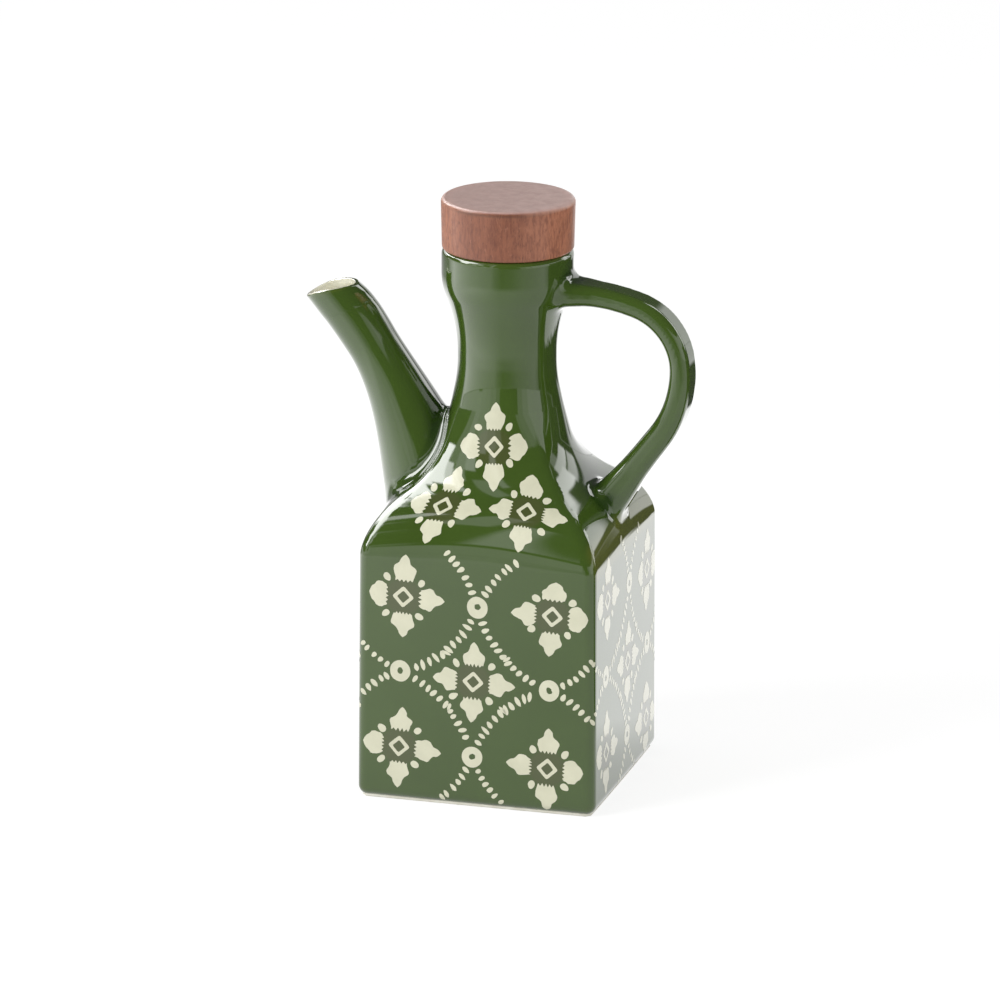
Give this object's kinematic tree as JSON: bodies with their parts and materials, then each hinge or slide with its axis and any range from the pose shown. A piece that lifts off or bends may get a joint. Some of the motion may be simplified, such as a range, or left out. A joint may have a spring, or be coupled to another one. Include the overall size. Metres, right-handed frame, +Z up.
{
  "type": "ceramic oil cruet",
  "caption": "Square-bodied glazed ceramic oil cruet with a round neck, a slender curved pouring spout, a strap handle and a wooden disc stopper.",
  "frame": {"origin": "centre of the square foot, on the plane that the cruet stands on", "axes": "+Z up, -X towards the spout, +X towards the handle"},
  "size_m": [0.1342, 0.083, 0.2009],
  "materials": {
    "green_glaze": "glossy olive green glaze with a cream stamped flower and dashed ring pattern, bare cream foot line and spout bore",
    "stopper_wood": "fine grained reddish brown wood, satin"
  },
  "bodies": {
    "root": {"ceramic_vessel": "green_glaze", "wood_stopper": "stopper_wood"}
  },
  "joints": []
}
